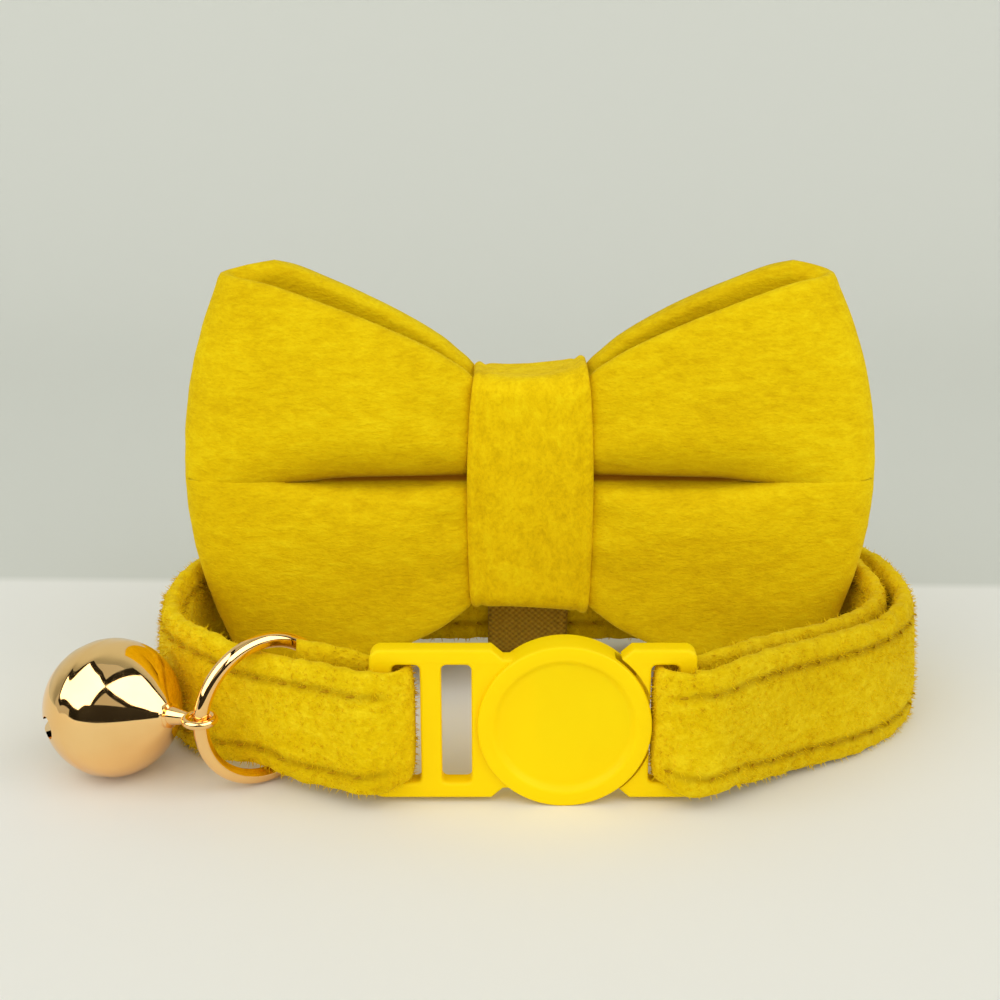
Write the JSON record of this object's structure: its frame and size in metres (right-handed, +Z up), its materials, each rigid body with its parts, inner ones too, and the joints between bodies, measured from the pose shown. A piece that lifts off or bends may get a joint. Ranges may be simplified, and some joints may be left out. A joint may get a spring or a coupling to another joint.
{
  "type": "pet bow tie collar",
  "caption": "Velvet pet collar with a bow tie, a breakaway buckle with a round cover, and a jingle bell on a ring.",
  "frame": {"origin": "middle of the collar's box in X and Y, on the surface that it lies on", "axes": "+X along the bow to the plug's side, +Y from the buckle back to the bow, +Z up"},
  "size_m": [0.0828, 0.0408, 0.0434],
  "materials": {
    "strap_velvet": "golden yellow short-pile velvet",
    "bow_velvet": "golden yellow short-pile velvet",
    "keeper_elastic": "woven elastic",
    "buckle_plastic": "satin moulded plastic",
    "rose_gold": "polished rose-gold plate"
  },
  "bodies": {
    "root": {"collar_band": "strap_velvet", "buckle_socket": "buckle_plastic", "buckle_plug": "buckle_plastic", "bow_loop": "bow_velvet", "bow_knot": "bow_velvet", "bow_keeper": "keeper_elastic", "bell_ring": "rose_gold", "bell": "rose_gold"}
  },
  "joints": []
}
